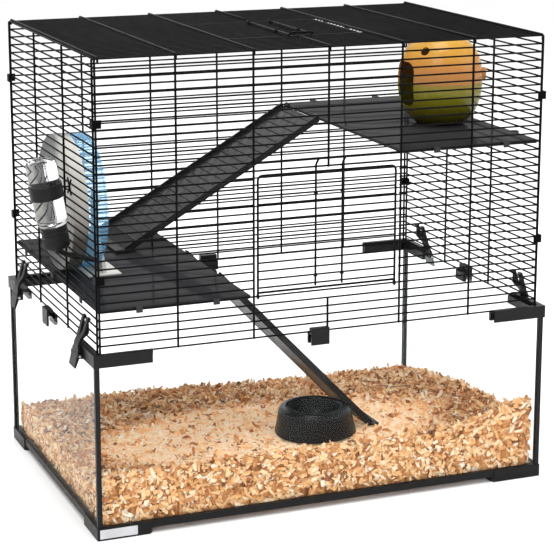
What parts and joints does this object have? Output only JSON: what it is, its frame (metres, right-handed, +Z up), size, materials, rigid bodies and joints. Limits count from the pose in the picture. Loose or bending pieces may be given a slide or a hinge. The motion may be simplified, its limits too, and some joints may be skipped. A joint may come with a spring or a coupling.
{
  "type": "hamster cage",
  "caption": "Two-storey small-animal cage: a glass tank under a latched black wire top, with doors, shelves, ramps, a running wheel, a bottle, a round hut, a dish and bedding",
  "frame": {"origin": "on the surface that the cage stands on, under the middle of the whole cage with its bottle", "axes": "+X along the front to the right, -Y out of the front, +Z up"},
  "size_m": [0.6584, 0.409, 0.5834],
  "materials": {
    "tank_glass": "clear float glass with polished edges",
    "black_trim": "satin black moulded plastic",
    "black_wire": "black epoxy-coated wire",
    "latch_grey": "satin mid-grey moulded plastic",
    "pin_steel": "plain steel",
    "plate_silver": "blank satin plate",
    "shelf_plastic": "glossy dark grey plastic",
    "ramp_plastic": "dark grey ribbed plastic",
    "drum_plastic": "off-white opaque plastic",
    "ring_plastic": "translucent light blue plastic",
    "bottle_clear": "clear plastic",
    "hut_upper": "glossy orange-yellow plastic",
    "hut_lower": "glossy olive plastic",
    "dish_plastic": "glossy dark grey plastic",
    "shavings": "pale softwood shavings"
  },
  "bodies": {
    "cage": {"base_glass": "tank_glass", "front_glass": "tank_glass", "back_glass": "tank_glass", "left_glass": "tank_glass", "right_glass": "tank_glass", "rail_front": "black_trim", "rail_back": "black_trim", "rail_left": "black_trim", "rail_right": "black_trim", "post_front_left": "black_trim", "post_front_right": "black_trim", "post_back_left": "black_trim", "post_back_right": "black_trim", "foot_front_left": "black_trim", "foot_front_right": "black_trim", "foot_back_left": "black_trim", "foot_back_right": "black_trim", "foot_plate": "plate_silver", "bracket_front_left": "black_trim", "bracket_front_right": "black_trim", "bracket_back_left": "black_trim", "bracket_back_right": "black_trim", "latch_pins": "pin_steel", "rim_clips": "black_trim", "front_panel": "black_wire", "back_panel": "black_wire", "left_panel": "black_wire", "right_panel": "black_wire", "roof_panel": "black_wire", "corner_clips": "black_trim", "lower_shelf": "shelf_plastic", "upper_shelf": "shelf_plastic", "wheel_stand": "drum_plastic", "wheel_axle": "pin_steel", "wheel_nut": "pin_steel", "bedding": "shavings"},
    "front_door": {"front_door": "black_wire"},
    "front_door_latch": {"front_door_latch": "black_wire"},
    "roof_door": {"roof_door": "black_wire"},
    "roof_door_latch": {"roof_door_latch": "black_wire"},
    "wheel": {"wheel_drum": "drum_plastic", "wheel_ring": "ring_plastic"},
    "bottle": {"bottle_body": "bottle_clear", "bottle_band": "black_trim", "bottle_hook": "black_wire", "bottle_cap": "black_trim", "bottle_spout": "black_trim", "bottle_ball": "pin_steel"},
    "upper_ramp": {"upper_ramp": "ramp_plastic"},
    "lower_ramp": {"lower_ramp": "ramp_plastic"},
    "dish": {"dish": "dish_plastic"},
    "hut": {"hut_top": "hut_upper", "hut_base": "hut_lower"},
    "latch_front_left": {"latch_front_left": "latch_grey"},
    "latch_front_right": {"latch_front_right": "latch_grey"},
    "latch_back_left": {"latch_back_left": "latch_grey"},
    "latch_back_right": {"latch_back_right": "latch_grey"}
  },
  "joints": [
    {"name": "front_door_hinge", "type": "hinge", "parent": "cage", "child": "front_door", "pos_m": [0.01861, -0.19107, 0.27918], "axis": [1, 0, 0], "range_deg": [0, 120]},
    {"name": "front_latch_slide", "type": "slide", "parent": "front_door", "child": "front_door_latch", "axis": [0, 0, -1], "range_m": [0, 0.006]},
    {"name": "roof_door_hinge", "type": "hinge", "parent": "cage", "child": "roof_door", "pos_m": [0.01861, 0.07876, 0.57599], "axis": [-1, 0, 0], "range_deg": [0, 105]},
    {"name": "roof_latch_slide", "type": "slide", "parent": "roof_door", "child": "roof_door_latch", "axis": [0, 1, 0], "range_m": [0, 0.008]},
    {"name": "latch_front_left_hinge", "type": "hinge", "parent": "cage", "child": "latch_front_left", "pos_m": [-0.28559, -0.14208, 0.218], "axis": [0, -1, 0], "range_deg": [0, 30]},
    {"name": "latch_front_right_hinge", "type": "hinge", "parent": "cage", "child": "latch_front_right", "pos_m": [0.32281, -0.14208, 0.218], "axis": [0, 1, 0], "range_deg": [0, 30]},
    {"name": "latch_back_left_hinge", "type": "hinge", "parent": "cage", "child": "latch_back_left", "pos_m": [-0.28559, 0.14392, 0.218], "axis": [0, -1, 0], "range_deg": [0, 30]},
    {"name": "latch_back_right_hinge", "type": "hinge", "parent": "cage", "child": "latch_back_right", "pos_m": [0.32281, 0.14392, 0.218], "axis": [0, 1, 0], "range_deg": [0, 30]},
    {"name": "wheel_spin", "type": "hinge", "parent": "cage", "child": "wheel", "pos_m": [-0.24339, 0.01093, 0.37028], "axis": [1, 0, 0], "continuous": true},
    {"name": "bottle_slide", "type": "slide", "parent": "cage", "child": "bottle", "axis": [-0.9475, 0.2274, 0.2249], "range_m": [0, 0.05]},
    {"name": "upper_ramp_hinge", "type": "hinge", "parent": "cage", "child": "upper_ramp", "pos_m": [0.11911, 0.12643, 0.44323], "axis": [0, 1, 0], "range_deg": [0, 30]},
    {"name": "lower_ramp_hinge", "type": "hinge", "parent": "cage", "child": "lower_ramp", "pos_m": [-0.08289, -0.00808, 0.27947], "axis": [0, -1, 0], "range_deg": [0, 30]},
    {"name": "dish_lift", "type": "slide", "parent": "cage", "child": "dish", "axis": [-0.8548, -0.4224, 0.3017], "range_m": [0, 0.03]},
    {"name": "hut_lift", "type": "slide", "parent": "cage", "child": "hut", "axis": [0, 0, 1], "range_m": [0, 0.008]}
  ]
}
